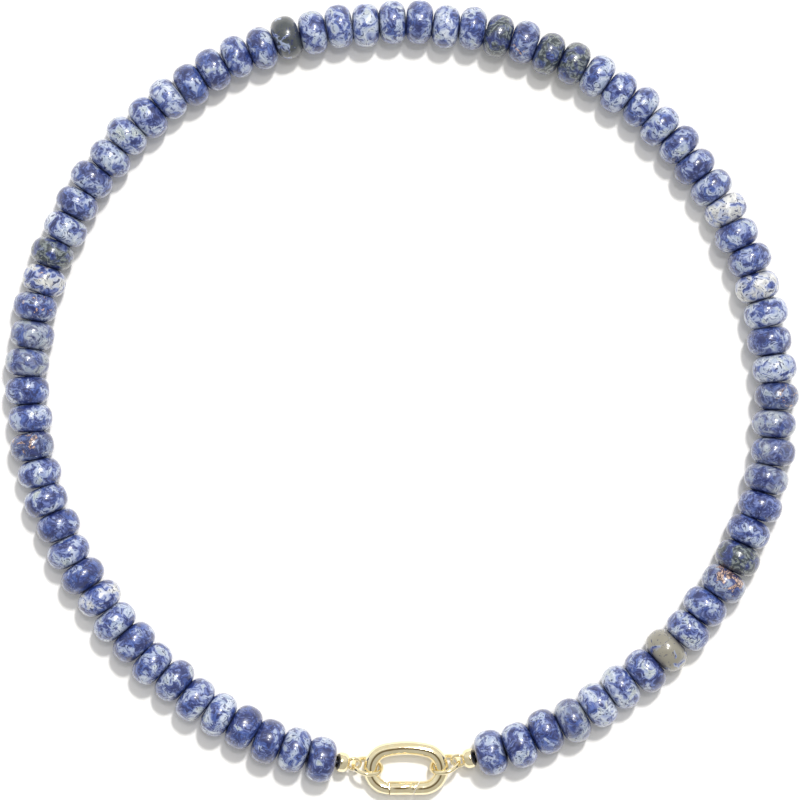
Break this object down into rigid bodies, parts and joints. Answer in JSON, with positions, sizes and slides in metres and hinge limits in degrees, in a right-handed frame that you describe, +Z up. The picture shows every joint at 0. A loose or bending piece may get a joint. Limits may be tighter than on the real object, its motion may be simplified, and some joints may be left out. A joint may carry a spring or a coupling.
{
  "type": "beaded necklace",
  "caption": "Closed necklace of polished stone rondelles strung close together, joined by end caps and jump rings to an oval clasp with a push-in spring gate.",
  "frame": {"origin": "middle of the necklace's footprint, on the surface that it lies on", "axes": "+Z up from the surface, -Y towards the clasp, +X to the right seen from above"},
  "size_m": [0.1444, 0.1446, 0.0083],
  "materials": {
    "stone": "polished opaque stone, white and grey-blue with deep blue patches and dark specks",
    "gold_plate": "polished pale gold plate"
  },
  "bodies": {
    "necklace": {"stone_string_left": "stone", "stone_string_right": "stone", "end_cap_left": "gold_plate", "end_cap_right": "gold_plate", "jump_ring_left": "gold_plate", "jump_ring_right": "gold_plate", "clasp_body": "gold_plate", "gate_pin": "gold_plate"},
    "gate": {"clasp_gate": "gold_plate"}
  },
  "joints": [
    {"name": "gate_hinge", "type": "hinge", "parent": "necklace", "child": "gate", "pos_m": [-0.00296, -0.07039, 0.00255], "axis": [0, 0, 1], "range_deg": [0, 28], "stiffness_Nm_per_rad": 0.006, "springref_deg": -17.19}
  ]
}
